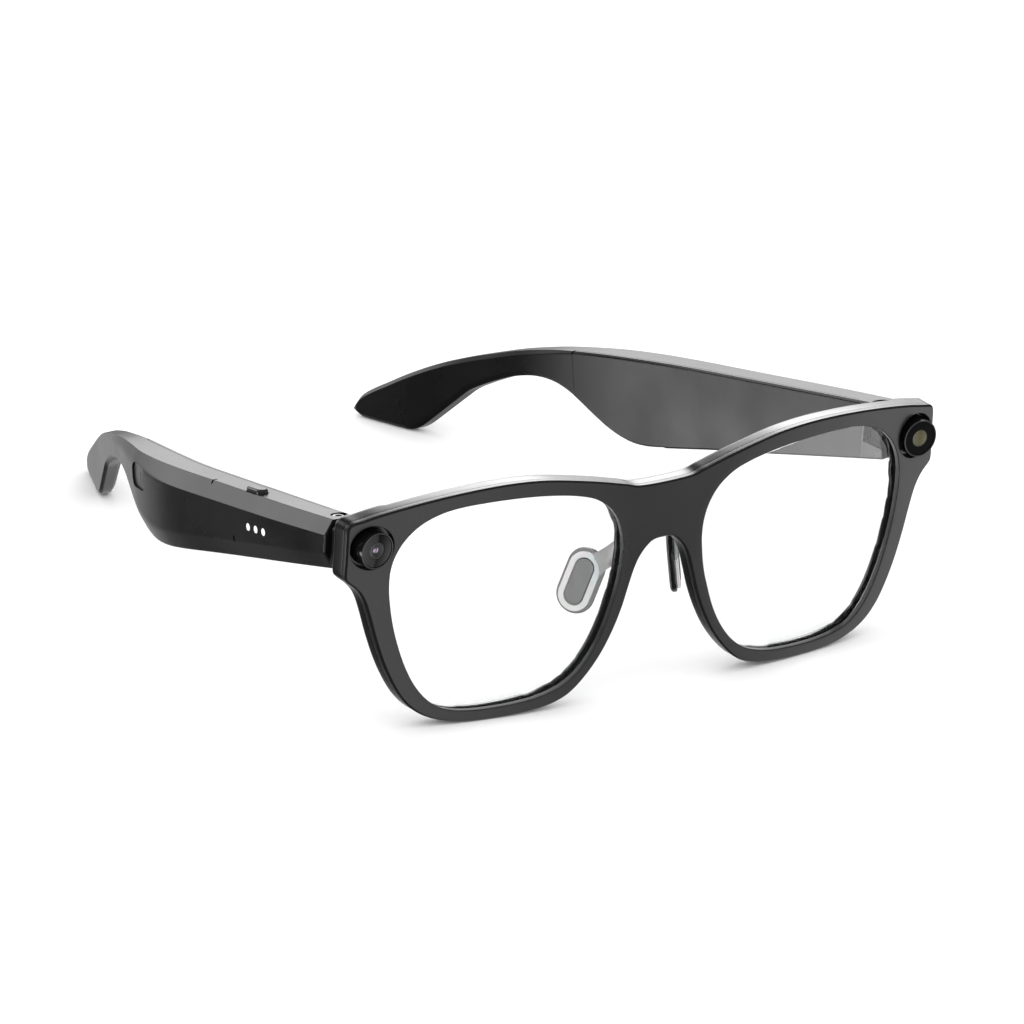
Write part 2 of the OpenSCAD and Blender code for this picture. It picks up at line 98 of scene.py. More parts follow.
WRAP_R = 294.0  # radius that the front is wrapped round
PLATE_T = 1.4  # thickness of the front plate
RIM_D = 4.6  # depth of the rims, both layers
END_D = 5.2  # depth of the end pieces
COVER_T = 1.5  # thickness of a temple's inner cover
SEAM_W = -0.55  # height of the inner cover's top edge
SEAM_A = 88.7  # rear end of the inner cover
ARM_FRONT = -3.2  # front end of the temples
RECESS_R = 4.7  # recess in the plate round each barrel


def smooth_loop(points, steps):
    """Closed Catmull-Rom loop through the points."""
    p = np.array(points, float)
    p0, p1, p2, p3 = np.roll(p, 1, 0), p, np.roll(p, -1, 0), np.roll(p, -2, 0)
    t = (np.arange(steps) / steps)[None, :, None]
    q0, q1, q2, q3 = (a[:, None, :] for a in (p0, p1, p2, p3))
    out = 0.5 * (2 * q1 + (q2 - q0) * t + (2 * q0 - 5 * q1 + 4 * q2 - q3) * t ** 2
                 + (3 * q1 - q0 - 3 * q2 + q3) * t ** 3)
    return out.reshape(-1, 2)


def even_loop(p, spacing):
    """The same closed loop with evenly spaced points."""
    q = np.vstack([p, p[:1]])
    s = np.concatenate([[0], np.cumsum(np.linalg.norm(np.diff(q, axis=0), axis=1))])
    n = int(round(s[-1] / spacing))
    want = np.arange(n) * s[-1] / n
    return np.stack([np.interp(want, s, q[:, k]) for k in range(2)], 1)


def loop_normals(p):
    """Outward normals of a clockwise loop."""
    v = np.roll(p, -1, 0) - np.roll(p, 1, 0)
    n = np.stack([-v[:, 1], v[:, 0]], 1)
    return n / np.linalg.norm(n, axis=1)[:, None]


def table_at(a, table):
    """Smooth (Hermite) value of a table at each a."""
    t = np.array(table, float)
    x, y = t[:, 0], t[:, 1]
    m = np.empty(len(x))
    m[0], m[-1] = (y[1] - y[0]) / (x[1] - x[0]), (y[-1] - y[-2]) / (x[-1] - x[-2])
    m[1:-1] = (y[2:] - y[:-2]) / (x[2:] - x[:-2])
    i = np.clip(np.searchsorted(x, a, side="left"), 1, len(x) - 1)
    h = x[i] - x[i - 1]
    s = (a - x[i - 1]) / h
    return ((1 + 2 * s) * (1 - s) ** 2 * y[i - 1] + s * (1 - s) ** 2 * h * m[i - 1]
            + s * s * (3 - 2 * s) * y[i] + s * s * (s - 1) * h * m[i])


def smoothstep(x):
    x = np.clip(x, 0, 1)
    return x * x * (3 - 2 * x)


# ---------------------------------------------------------------- frame places
front_low = box_mm("front_frame")[0]
outline_full = smooth_loop(OUTLINE + [(-x, z) for x, z in reversed(OUTLINE)], 12)
OUT_LOOP = even_loop(outline_full, 0.55)
OPEN_L = even_loop(smooth_loop(OPENING, 12), 0.5)
OPEN_R = (OPEN_L * [-1, 1])[::-1].copy()
Y0 = front_low[1]
Z0 = front_low[2] - OUT_LOOP[:, 1].min()
JOINTS = {j["name"]: j for j in frame["joints"]}
HINGE = np.array(JOINTS["left_temple_fold"]["pos_m"]) / MM
PRESS = np.array(JOINTS["capture_button_press"]["axis"])
DROP = math.atan2(-PRESS[1], -PRESS[2])
HINGE_X, HINGE_Y, HINGE_Z = HINGE


def wrap_y(x, depth):
    return WRAP_R - np.sqrt((WRAP_R - depth) ** 2 - np.square(x))


def front_to_world(p):
    """Front coordinates (x, y, z) to the CAD frame."""
    return np.asarray(p, float) + [0, Y0, Z0]


def temple_to_world(p, side):
    """Temple coordinates (x, a back, w up) to the CAD frame."""
    p = np.asarray(p, float)
    c, s = math.cos(DROP), math.sin(DROP)
    return np.stack([side * p[:, 0], HINGE_Y + c * p[:, 1] + s * p[:, 2],
                     HINGE_Z - s * p[:, 1] + c * p[:, 2]], 1)


# ---------------------------------------------------------------- mesh making
def clean_mesh(name, verts, faces, merge):
    """A mesh with double vertices merged and its faces turned outward."""
    mesh = bpy.data.meshes.new(name)
    mesh.from_pydata(np.asarray(verts).tolist(), [], [list(map(int, f)) for f in faces])
    bm = bmesh.new()
    bm.from_mesh(mesh)
    bmesh.ops.remove_doubles(bm, verts=bm.verts, dist=merge)
    bmesh.ops.recalc_face_normals(bm, faces=bm.faces)
    bm.to_mesh(mesh)
    bm.free()
    return mesh


def placed_object(name, data):
    o = bpy.data.objects.new(name, data)
    bpy.context.scene.collection.objects.link(o)
    return o


def make(name, verts, faces, material, body, replaces, angle=35):
    """A piece from vertices in mm in the CAD frame; edges sharper than the angle stay crisp."""
    mesh = clean_mesh(name, np.asarray(verts) * MM, faces, 1e-8)
    mesh.shade_smooth()
    mesh.set_sharp_from_angle(angle=math.radians(angle))
    mesh.materials.append(material)
    o = placed_object(name, mesh)
    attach(o, body)
    if replaces:
        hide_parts(*replaces)
    return o


def front_piece(name, solid, material, replaces=(), angle=40, side=1):
    """A piece given in front coordinates, mirrored for side -1."""
    verts, faces = solid
    return make(name, front_to_world(np.asarray(verts) * [side, 1, 1]), faces, material, "front",
                replaces, angle)


def second_material(o, material, chosen):
    """Gives the material to the faces for which chosen(face) is true."""
    o.data.materials.append(material)
    for face in o.data.polygons:
        if chosen(face):
            face.material_index = 1


def inside(points, loop):
    """Which points lie inside a loop."""
    x, y = points[:, 0][:, None], points[:, 1][:, None]
    a, b = loop, np.roll(loop, -1, 0)
    cross = ((a[:, 1] > y) != (b[:, 1] > y)) & (
        x < (b[:, 0] - a[:, 0]) * (y - a[:, 1]) / (b[:, 1] - a[:, 1] + 1e-12) + a[:, 0])
    return cross.sum(1) % 2 == 1


ROW_HEIGHT = 0.866  # of a row of equal triangles
CLEARANCE = 0.55  # of the spacing, between added points and the loops
BATCH = 400


def fill(loops, spacing):
    """Triangles between the first loop and the rest, with added inner points."""
    base = np.vstack(loops)
    edges, start = [], 0
    for p in loops:
        n = len(p)
        edges += [(start + i, start + (i + 1) % n) for i in range(n)]
        start += n

    def within(q):
        ok = inside(q, loops[0])
        for p in loops[1:]:
            ok &= ~inside(q, p)
        return ok

    lo, hi = base.min(0), base.max(0)
    rows = []
    for k, z in enumerate(np.arange(lo[1], hi[1], spacing * ROW_HEIGHT)):
        xs = np.arange(lo[0], hi[0], spacing) + (k % 2) * spacing / 2
        rows.append(np.stack([xs, np.full(len(xs), z)], 1))
    grid = np.vstack(rows)
    grid = grid[within(grid)]
    keep = np.ones(len(grid), bool)
    for k in range(0, len(grid), BATCH):
        d = np.linalg.norm(grid[k:k + BATCH, None, :] - base[None, :, :], axis=2).min(1)
        keep[k:k + BATCH] = d > CLEARANCE * spacing
    grid = grid[keep]
    points = np.vstack([base, grid])
    out = delaunay_2d_cdt([Vector(p) for p in points], edges, [], 0, 1e-6)
    index = [ids[0] if ids else -1 for ids in out[3]]
    co = np.array([(v.x, v.y) for v in out[0]])
    mid = np.array([co[list(f)].mean(0) for f in out[2]])
    faces = [tuple(index[i] for i in f) for f, ok in zip(out[2], within(mid)) if ok]
    return grid, [f for f in faces if -1 not in f]


def wrapped(q, depth, depth_of):
    """Plane points (x, z) at a depth behind the wrapped face."""
    d = depth_of(q, depth) if depth_of else np.full(len(q), float(depth))
    return np.stack([q[:, 0], wrap_y(q[:, 0], d), q[:, 1]], 1)


def layered(loops, profiles, spacing, depth_of=None):
    """Closed solid on the wrapped front. Each loop has a profile of (inset, depth) rows from its
    front edge to its back edge. Loops after the first are openings. Returns (verts, faces)."""
    verts, faces, tops, lows, flat_top, flat_low = [], [], [], [], [], []
    count = 0
    for k, (p, profile) in enumerate(zip(loops, profiles)):
        n = loop_normals(p) * (1 if k else -1)
        m = len(p)
        rows = []
        for inset, depth in profile:
            verts.append(wrapped(p + n * inset, depth, depth_of))
            rows.append(count)
            count += m
        for a, b in zip(rows[:-1], rows[1:]):
            faces += [(a + i, a + (i + 1) % m, b + (i + 1) % m, b + i) for i in range(m)]
        tops.append(rows[0] + np.arange(m))
        lows.append(rows[-1] + np.arange(m))
        flat_top.append(p + n * profile[0][0])
        flat_low.append(p + n * profile[-1][0])
    for flat, ids, which in ((flat_top, tops, 0), (flat_low, lows, -1)):
        grid, tris = fill(flat, spacing)
        verts.append(wrapped(grid, profiles[0][which][1], depth_of))
        lookup = np.concatenate(ids + [count + np.arange(len(grid))])
        faces += [tuple(lookup[list(f)]) for f in tris]
        count += len(grid)
    return np.vstack(verts), faces


def arc(c_inset, c_depth, r, a0, a1, n):
    """Rows (inset, depth) round a corner."""
    t = np.radians(np.linspace(a0, a1, n))
    return [(c_inset - r * math.cos(x), c_depth - r * math.sin(x)) for x in t]


def circle_loop(cx, cz, r, n=96):
    """Clockwise circle."""
    t = -2 * np.pi * np.arange(n) / n
    return np.stack([cx + r * np.cos(t), cz + r * np.sin(t)], 1)


LATHE_STEPS = 96


def lathe(profile, centre, material, name, replaces=(), angle=35):
    """Round piece of the front on an axis along Y. The profile is a list of (radius, y); one that
    doesn't touch the axis is closed into a ring."""
    if profile[0][0] > 0:
        profile = profile + [profile[0]]
    t = 2 * np.pi * np.arange(LATHE_STEPS) / LATHE_STEPS
    verts, faces, rows = [], [], []
    for r, y in profile:
        if r < 1e-6:
            rows.append([len(verts)])
            verts.append((0, y, 0))
        else:
            rows.append(list(range(len(verts), len(verts) + LATHE_STEPS)))
            verts += [(r * math.cos(x), y, r * math.sin(x)) for x in t]
    for a, b in zip(rows[:-1], rows[1:]):
        for i in range(LATHE_STEPS):
            j = (i + 1) % LATHE_STEPS
            if len(a) == 1 and len(b) > 1:
                faces.append((a[0], b[i], b[j]))
            elif len(b) == 1 and len(a) > 1:
                faces.append((a[i], a[j], b[0]))
            elif len(a) > 1:
                faces.append((a[i], a[j], b[j], b[i]))
    return make(name, np.array(verts) + centre, faces, material, "front", replaces, angle)


# ---------------------------------------------------------------- materials
def node_of(tree, kind, **sockets):
    n = tree.nodes.new("ShaderNode" + kind)
    for key, value in sockets.items():
        n.inputs[key.replace("_", " ")].default_value = value
    return n


def ranged(tree, source, span, to):
    """A value carried from one span to another, held at both ends."""
    n = node_of(tree, "MapRange")
    n.inputs["From Min"].default_value, n.inputs["From Max"].default_value = span
    n.inputs["To Min"].default_value, n.inputs["To Max"].default_value = to
    tree.links.new(source, n.inputs["Value"])
    return n


NOISE_SPAN = (0.3, 0.7)
EDGE_SPAN = (0.52, 0.62)
GRAIN_DEPTH = 0.02


def material(name, colour, rough, bump, grain=0.3, smudge=6.0, second=None, metallic=0.0,
             specular=0.5, ior=1.5, coat=0.0, coat_rough=0.05, transmission=0.0, subsurface=0.0,
             worn=0.0, brushed=None):
    """A surface with fine grain in its relief, wandering gloss and colour, and worn edges.
    grain and smudge are sizes in mm."""
    m = bpy.data.materials.new(name)
    m.use_nodes = True
    t = m.node_tree
    bsdf = t.nodes["Principled BSDF"]
    link = t.links.new
    co = node_of(t, "TexCoord")
    vector = co.outputs["Object"]
    if brushed:
        mapping = node_of(t, "Mapping", Scale=brushed)
        link(vector, mapping.inputs["Vector"])
        vector = mapping.outputs["Vector"]
    fine = node_of(t, "TexNoise", Scale=1 / (grain * MM), Detail=3.0, Roughness=0.6)
    wide = node_of(t, "TexNoise", Scale=1 / (smudge * MM), Detail=4.0, Roughness=0.55)
    link(vector, fine.inputs["Vector"])
    link(co.outputs["Object"], wide.inputs["Vector"])
    gloss = ranged(t, wide.outputs["Fac"], NOISE_SPAN, rough)
    link(gloss.outputs["Result"], bsdf.inputs["Roughness"])
    relief = node_of(t, "Bump", Strength=bump, Distance=GRAIN_DEPTH * MM)
    link(fine.outputs["Fac"], relief.inputs["Height"])
    link(relief.outputs["Normal"], bsdf.inputs["Normal"])
    tint = node_of(t, "Mix")
    tint.data_type = "RGBA"
    tint.inputs[6].default_value = (*colour, 1)
    tint.inputs[7].default_value = (*(second or [c * 1.35 + 0.0015 for c in colour]), 1)
    link(wide.outputs["Fac"], tint.inputs[0])
    out = tint.outputs[2]
    if worn:
        geometry = node_of(t, "NewGeometry")
        edge = ranged(t, geometry.outputs["Pointiness"], EDGE_SPAN, (0, worn))
        rub = node_of(t, "Mix")
        rub.data_type = "RGBA"
        rub.inputs[7].default_value = (*[min(1, c * 3 + 0.02) for c in colour], 1)
        link(edge.outputs["Result"], rub.inputs[0])
        link(out, rub.inputs[6])
        out = rub.outputs[2]
    link(out, bsdf.inputs["Base Color"])
    for socket, value in (("Metallic", metallic), ("Specular IOR Level", specular), ("IOR", ior),
                          ("Coat Weight", coat), ("Coat Roughness", coat_rough),
                          ("Transmission Weight", transmission),
                          ("Subsurface Weight", subsurface)):
        bsdf.inputs[socket].default_value = value
    if subsurface:
        bsdf.inputs["Subsurface Scale"].default_value = MM
    return m


def clear_glass(name, tint):
    """Glass that lets light through to what is behind and under it."""
    m = material(name, tint, rough=(0.0, 0.004), bump=0.0, transmission=1.0, second=tint)
    t = m.node_tree
    out = t.nodes["Material Output"]
    path = node_of(t, "LightPath")
    clear = node_of(t, "BsdfTransparent", Color=(*[0.5 + 0.5 * c for c in tint], 1))
    mix = node_of(t, "MixShader")
    t.links.new(path.outputs["Is Shadow Ray"], mix.inputs["Fac"])
    t.links.new(t.nodes["Principled BSDF"].outputs["BSDF"], mix.inputs[1])
    t.links.new(clear.outputs["BSDF"], mix.inputs[2])
    t.links.new(mix.outputs["Shader"], out.inputs["Surface"])
    return m


# Each one: name, colour, roughness from and to, bump, size of the grain and of the smudges
BLACK = (0.0028, 0.0028, 0.003)
FRONT_SATIN = material("front_satin", (0.0055, 0.0055, 0.0058), (0.27, 0.33), 0.05, 0.22, 14,
                       worn=0.25)
REAR_SATIN = material("rear_satin", BLACK, (0.2, 0.27), 0.04, 0.22, 12, worn=0.2)
TEMPLE_SATIN = material("temple_satin", BLACK, (0.24, 0.31), 0.05, 0.22, 15)
COVER_SATIN = material("cover_satin", BLACK, (0.3, 0.38), 0.07, 0.2, 18)
GLOSS_BLACK = material("gloss_black", (0.0015, 0.0015, 0.0017), (0.06, 0.12), 0.01, 0.5, 4)
NECK_BLACK = material("neck_black", (0.0015, 0.0015, 0.0016), (0.3, 0.4), 0.06, 0.2, 5,
                      specular=0.15)
LENS_CLEAR = clear_glass("lens_clear", (0.985, 0.99, 0.99))
WINDOW = material("window_glass", (0.0008, 0.0008, 0.001), (0.01, 0.02), 0.002, 0.6, 3, coat=1.0,
                  coat_rough=0.02)
LAMP_BLACK = material("lamp_face", (0.0006, 0.0006, 0.0006), (0.3, 0.4), 0.02, smudge=2,
                      specular=0.08)
OLIVE = material("olive_diffuser", (0.07, 0.064, 0.022), (0.25, 0.4), 0.1, 0.12, 1.2,
                 second=(0.045, 0.042, 0.012), coat=0.6, coat_rough=0.05)
SILICONE = material("silicone", (0.16, 0.16, 0.165), (0.32, 0.42), 0.06, 0.25, 3,
                    transmission=0.55, subsurface=0.3, ior=1.41, second=(0.2, 0.2, 0.2))
DARK_SIDE = material("pad_side", (0.004, 0.004, 0.004), (0.2, 0.3), 0.03, 0.25, 3)
FROSTED = material("frosted", (0.8, 0.8, 0.8), (0.18, 0.3), 0.04, 0.25, 3, subsurface=0.3,
                   second=(0.7, 0.7, 0.7))
PALE_ARM = material("pale_arm", (0.3, 0.3, 0.3), (0.15, 0.25), 0.03, 0.3, 3, subsurface=0.2,
                    second=(0.42, 0.42, 0.42))
STEEL = material("steel", (0.6, 0.6, 0.59), (0.2, 0.35), 0.08, 0.2, 1.5, metallic=1.0,
                 brushed=(1, 1, 6))
CONTACT = material("contact_metal", (0.03, 0.029, 0.028), (0.25, 0.4), 0.05, 0.2, 1, metallic=0.5)
SCREW_STEEL = material("screw_steel", (0.03, 0.03, 0.031), (0.15, 0.25), 0.05, 0.2, 0.8,
                       metallic=0.8)
BUTTON_SATIN = material("button_satin", (0.016, 0.016, 0.0165), (0.22, 0.3), 0.05, 0.2, 5)
INSET_SATIN = material("inset_satin", (0.022, 0.022, 0.0225), (0.3, 0.38), 0.05, 0.2, 4)
EYE_GREY = material("eye_grey", (0.03, 0.03, 0.031), (0.3, 0.4), 0.05, 0.1, 0.6, metallic=0.3)
PUPIL = material("coated_element", (0.45, 0.1, 0.22), (0.04, 0.08), 0.005, 0.5, 0.9,
                 second=(0.03, 0.3, 0.33), metallic=0.7, coat=1.0)
PRINT = material("white_inlay", (0.82, 0.82, 0.82), (0.3, 0.4), 0.05, 0.15, 0.8)
BOARD = material("circuit_board", (0.02, 0.12, 0.05), (0.3, 0.45), 0.1, 0.4, 1.5,
                 second=(0.03, 0.2, 0.09))
CHIP = material("chip", (0.015, 0.015, 0.016), (0.45, 0.6), 0.12, 0.15, 1)
FLEX = material("flex_cable", (0.45, 0.2, 0.04), (0.25, 0.4), 0.06, 0.5, 2,
                second=(0.6, 0.3, 0.07))
FOIL = material("battery_foil", (0.5, 0.51, 0.53), (0.25, 0.4), 0.15, 0.8, 3, metallic=1.0)
CAN = material("speaker_can", (0.1, 0.1, 0.105), (0.3, 0.45), 0.06, 0.3, 2, metallic=0.6)


# ---------------------------------------------------------------- front
END_X, END_X_FADE = 62.4, 1.4  # where the end pieces start, and the width of the change
END_Z, END_Z_FADE = -20.6, 1.6
BACK_FROM, BACK_FADE = 2.0, 1.5  # depth where rows start to move back, and the change's depth


def back_depth(q, d):
    """Depth of the rear shell: it thickens at the end pieces."""
    across = smoothstep((np.abs(q[:, 0]) - END_X) / END_X_FADE)
    down = smoothstep((q[:, 1] - END_Z) / END_Z_FADE)
    share = min(1.0, max(0.0, (d - BACK_FROM) / BACK_FADE))
    return d + (END_D - RIM_D) * across * down * share


barrel_lo, barrel_hi = box_mm("camera_barrel")
BX = -(barrel_lo[0] + barrel_hi[0]) / 2
BZ = (barrel_lo[2] + barrel_hi[2]) / 2 - Z0
BARREL_R = (barrel_hi[0] - barrel_lo[0]) / 2
FACE_Y = barrel_lo[1] - Y0
RECESSES = [circle_loop(s * BX, BZ, RECESS_R) for s in (1, -1)]

# Edge profiles, from the front to the back: (inset, depth)
plate_edge = [(0.62, 0), (0.36, 0.0), (0.31, 0.03), (0.06, 0.28), (0.01, 0.34), (0, 0.42),
              (0, 0.9), (0, 1.3), (0.01, 1.37), (0.03, PLATE_T)]
plate_lip = ([(0.3, 0), (0.22, 0.004)] + arc(0.2, 0.2, 0.2, 80, 0, 6) + [(0, 0.6), (0, 1.15)]
             + [(0.04, 1.33), (0.12, PLATE_T)])
plate = layered([OUT_LOOP, OPEN_L, OPEN_R] + RECESSES, [plate_edge] + [plate_lip] * 4, 1.3)
front_piece("front_plate", plate, FRONT_SATIN, ["front_frame"], 22)

REAR_IN = 0.04  # how far the rear shell stays inside the plate's outline
REAR_FRONT = 1.43  # depth of its front face
GROOVE = 0.9  # depth of the lens groove
rear_edge = ([(REAR_IN + 0.12, REAR_FRONT), (REAR_IN + 0.03, 1.44), (REAR_IN + 0.005, 1.48),
              (REAR_IN, 1.56), (REAR_IN, 2.6), (REAR_IN, 3.4)]
             + [(REAR_IN + a, b) for a, b in ((0.0, 3.75), (0.05, 4.0), (0.16, 4.22),
                                             (0.34, 4.42), (0.56, 4.55), (0.8, RIM_D))])
rear_lip = ([(GROOVE, REAR_FRONT), (GROOVE, 1.8), (GROOVE, 3.4), (GROOVE, 3.5), (0.12, 3.5),
             (0.03, 3.53), (0.0, 3.62), (0.0, 3.9), (0.02, 4.2), (0.1, 4.42), (0.24, 4.54),
             (0.45, RIM_D)])
rear_holes = [circle_loop(s * BX, BZ, BARREL_R + 0.1) for s in (1, -1)]
hole_rows = [(0.0, REAR_FRONT + k * (RIM_D - REAR_FRONT) / 11) for k in range(12)]
rear = layered([OUT_LOOP, OPEN_L, OPEN_R] + rear_holes,
               [rear_edge, rear_lip, rear_lip, hole_rows, hole_rows], 1.5, back_depth)
front_piece("rear_shell", rear, REAR_SATIN, ["rear_frame"])

cap_rows = [(0.05, END_D - 0.65), (0, END_D - 0.6), (0, END_D - 0.12), (0.08, END_D - 0.05)]
for side, word in SIDES:
    cap_loop = circle_loop(side * BX, BZ, BARREL_R + 0.07)[::-1]
    front_piece("end_cap_" + word, layered([cap_loop], [cap_rows], 1.0), REAR_SATIN)

LENS_GRIP = 0.7  # how far a lens reaches into its groove
lens_rows = [(0.2, 1.6), (0.06, 1.65), (0, 1.78), (0, 2.4), (0, 3.02), (0.06, 3.15), (0.2, 3.2)]
for name, loop in (("lens_left", OPEN_L), ("lens_right", OPEN_R)):
    rim = loop + loop_normals(loop) * LENS_GRIP
    front_piece(name + "_clear", layered([rim], [lens_rows], 1.6), LENS_CLEAR,
                [name], 30)


# ---------------------------------------------------------------- barrels
# Profiles here are (radius, depth behind the barrels' front ends)
GLASS_R = BARREL_R - 0.34  # inner radius of the barrels' rims
BORE_R = 1.85
BORE_END = 10.6 - FACE_Y
PAINTED_HIGHLIGHT_DEPTH = 0.07  # depth of the painted highlight on a rim: a grey line of colour in place of a reflection


def barrel(side, name, node):
    """A barrel with a painted highlight round its rim: a thin line of grey colour in place of a
    reflection. Returns the middle of its front end.
    """
    centre = np.array([side * BX, Y0 + FACE_Y, Z0 + BZ])
    r, g = BARREL_R, GLASS_R
    profile = [(g, 1.0), (g, 0.12), (g + 0.02, 0.06), (g + 0.08, 0.02), (r - 0.2, 0),
               (r - 0.1, 0.02), (r - 0.03, 0.08), (r, 0.2), (r, 1.4), (r, 3.0), (r, BORE_END),
               (BORE_R, BORE_END), (BORE_R, 1.0)]
    o = lathe(profile, centre, GLOSS_BLACK, name, [node])
    # painted highlight: the rim's front faces get the grey material in place of their reflection
    second_material(o, EYE_GREY, lambda face: face.center[1] / MM - centre[1] < PAINTED_HIGHLIGHT_DEPTH)
    return centre


camera_at = barrel(-1, "camera_housing", "camera_barrel")
lamp_at = barrel(1, "light_housing", "light_barrel")

HOLE_R = 1.88  # hole in the round faces, filled by the lens or the diffuser
DOME_R = 75.0  # radius of the slight dome of the faces


def dome(r):
    return 0.12 + DOME_R - math.sqrt(DOME_R ** 2 - r * r)


face_ring = ([(HOLE_R, 0.9), (HOLE_R, dome(HOLE_R) + 0.05), (HOLE_R + 0.03, dome(HOLE_R))]
             + [(r, dome(r)) for r in np.linspace(HOLE_R + 0.12, GLASS_R - 0.08, 12)]
             + [(GLASS_R - 0.03, dome(GLASS_R) + 0.05), (GLASS_R - 0.02, 0.9)])
lathe(face_ring, camera_at, WINDOW, "camera_glass", ["camera_window"])
lathe(face_ring, lamp_at, LAMP_BLACK, "light_face")
eye = [(1.83, 1.0), (1.83, 0.3), (1.8, 0.24), (1.62, 0.24), (1.58, 0.3), (1.4, 0.36),
       (1.36, 0.46), (1.18, 0.5), (1.14, 0.62), (0.96, 0.66), (0.92, 0.8), (0.8, 0.82), (0.8, 1.0)]
lathe(eye, camera_at, EYE_GREY, "lens_mount", ["camera_lens"], angle=25)
pupil = [(0, 0.52)] + [(0.79 * math.sin(t), 0.52 + 0.26 * (1 - math.cos(t)))
                       for t in np.linspace(0.15, math.pi / 2, 9)] + [(0.79, 0.95), (0, 0.95)]
lathe(pupil, camera_at, PUPIL, "lens_front_element", angle=50)
lamp = [(0, 0.2)] + [(1.72 * t, 0.2 + 0.07 * t * t) for t in (0.3, 0.6, 0.85)] \
    + [(1.72, 0.28), (1.76, 0.34), (1.76, 0.75), (0, 0.75)]
lathe(lamp, lamp_at, OLIVE, "light_diffuser_disc", ["light_window"])
rim = [(1.77, 0.8), (1.77, 0.22), (1.8, 0.18), (1.84, 0.18), (1.87, 0.22), (1.87, 0.8)]
lathe(rim, lamp_at, EYE_GREY, "light_rim")


# ---------------------------------------------------------------- solids from stacked loops
def placed(points, frame_matrix):
    """Points carried by a matrix."""
    m = np.array(frame_matrix)
    return np.asarray(points, float) @ m[:3, :3].T + m[:3, 3]


def turn(degrees, axis):
    return Matrix.Rotation(math.radians(degrees), 4, axis)


def shift(x, y, z):
    return Matrix.Translation((x, y, z))


def ring_faces(n, rows, closed=False):
    """Faces between rings of n points; the ends are capped, or joined when closed."""
    pairs = [(k, k + 1) for k in range(rows - 1)] + ([(rows - 1, 0)] if closed else [])
    faces = [(a * n + i, a * n + (i + 1) % n, b * n + (i + 1) % n, b * n + i)
             for a, b in pairs for i in range(n)]
    if not closed:
        faces += [tuple(range(n)), tuple(range((rows - 1) * n, rows * n))]
    return faces


def stack(loops, heights, frame_matrix, closed=False):
    """A solid from plane loops of equal counts, each at its height."""
    n = len(loops[0])
    verts = [placed(np.column_stack([p, np.full(n, float(h))]), frame_matrix)
             for p, h in zip(loops, heights)]
    return np.vstack(verts), ring_faces(n, len(loops), closed)


def pill_loop(length, width, inset=0.0, steps=16):
    """Pill outline, long along X."""
    r = width / 2 - inset
    c = (length - width) / 2
    t = np.linspace(-np.pi / 2, np.pi / 2, steps)
    right = np.stack([c + r * np.cos(t), r * np.sin(t)], 1)
    return np.vstack([right, -right])


def square_loop(length, width, radius, inset=0.0):
    """Rectangle with round corners, length along X."""
    out, steps = [], 8
    for k, (sx, sy) in enumerate(((1, 1), (-1, 1), (-1, -1), (1, -1))):
        t = np.linspace(0, np.pi / 2, steps) + k * np.pi / 2
        r = max(radius - inset, 0.02)
        cx, cy = sx * (length / 2 - max(radius, inset)), sy * (width / 2 - max(radius, inset))
        out.append(np.stack([cx + r * np.cos(t), cy + r * np.sin(t)], 1))
    return np.vstack(out)


def slab(loop_of, rows, frame_matrix):
    """Solid from rows of (inset, height) of one outline."""
    return stack([loop_of(i) for i, _ in rows], [h for _, h in rows], frame_matrix)


def edge_rows(h0, h1, r_low, r_top, steps=5):
    """Rows of a slab from height h0 to h1 with round edges."""
    t = np.linspace(0, np.pi / 2, steps)
    low = [(r_low * (1 - math.sin(x)), h0 + r_low * (1 - math.cos(x))) for x in t] \
        if r_low else [(0.0, h0)]
    top = [(r_top * (1 - math.cos(x)), h1 - r_top * (1 - math.sin(x))) for x in t] \
        if r_top else [(0.0, h1)]
    return low + top


def temp(verts, faces):
    """A solid in temple coordinates, to be cut or to cut with."""
    return placed_object("tool", clean_mesh("tool", verts, faces, 1e-6))


def carve(base, tools, operation="DIFFERENCE"):
    """Applies each tool to the base in turn and removes the tools."""
    for t in tools:
        m = base.modifiers.new("carve", "BOOLEAN")
        m.object, m.operation, m.solver = t, operation, "MANIFOLD"
    bpy.context.view_layer.update()
    got = bpy.data.meshes.new_from_object(base.evaluated_get(
        bpy.context.evaluated_depsgraph_get()))
    base.modifiers.clear()
    base.data = got
    for t in tools:
        bpy.data.objects.remove(t)
    return base


def harvest(base, name, material, side, body, replaces):
    """Turns a carved temple solid into a piece in the CAD frame."""
    v = np.array([tuple(v.co) for v in base.data.vertices])
    f = [tuple(p.vertices) for p in base.data.polygons]
    bpy.data.objects.remove(base)
    return make(name, temple_to_world(v, side), f, material, body, replaces, 30)


# ---------------------------------------------------------------- temples
TAN = math.tan(DROP)
FRONT_T = ARM_FRONT / math.cos(DROP)  # front end of the temples
TIP_A = 138.8  # back end
UPRIGHT_TO, UPRIGHT_FADE = 4, 12  # sections are upright in front, then square to the temple
TIP_ROUND, TIP_FADE = 137.9, 0.9  # where the tip starts to round off, and over what length
ARC_N = 7  # points on each rounded corner
BEVEL_SHARE = 0.42  # no bevel takes more than this share of a section's height
# Edge radii at each corner of a section: distance behind the hinge axis, then the radius
R_SMALL = [(-6, 0.3), (90, 0.3), (105, 0.25), (139, 0.25)]
R_UPPER = [(-6, 0.35), (50, 0.4), (66, 1.0), (80, 4), (92, 4), (104, 0.7), (139, 0.5)]
R_LOWER = [(-6, 0.8), (50, 0.9), (66, 2), (80, 5), (95, 5), (108, 1.0), (139, 0.6)]
R_CRISP = [(-6, 0.4), (139, 0.4)]
RADII = [R_SMALL, R_SMALL, R_UPPER, R_LOWER, R_CRISP, R_SMALL, R_SMALL, R_SMALL]


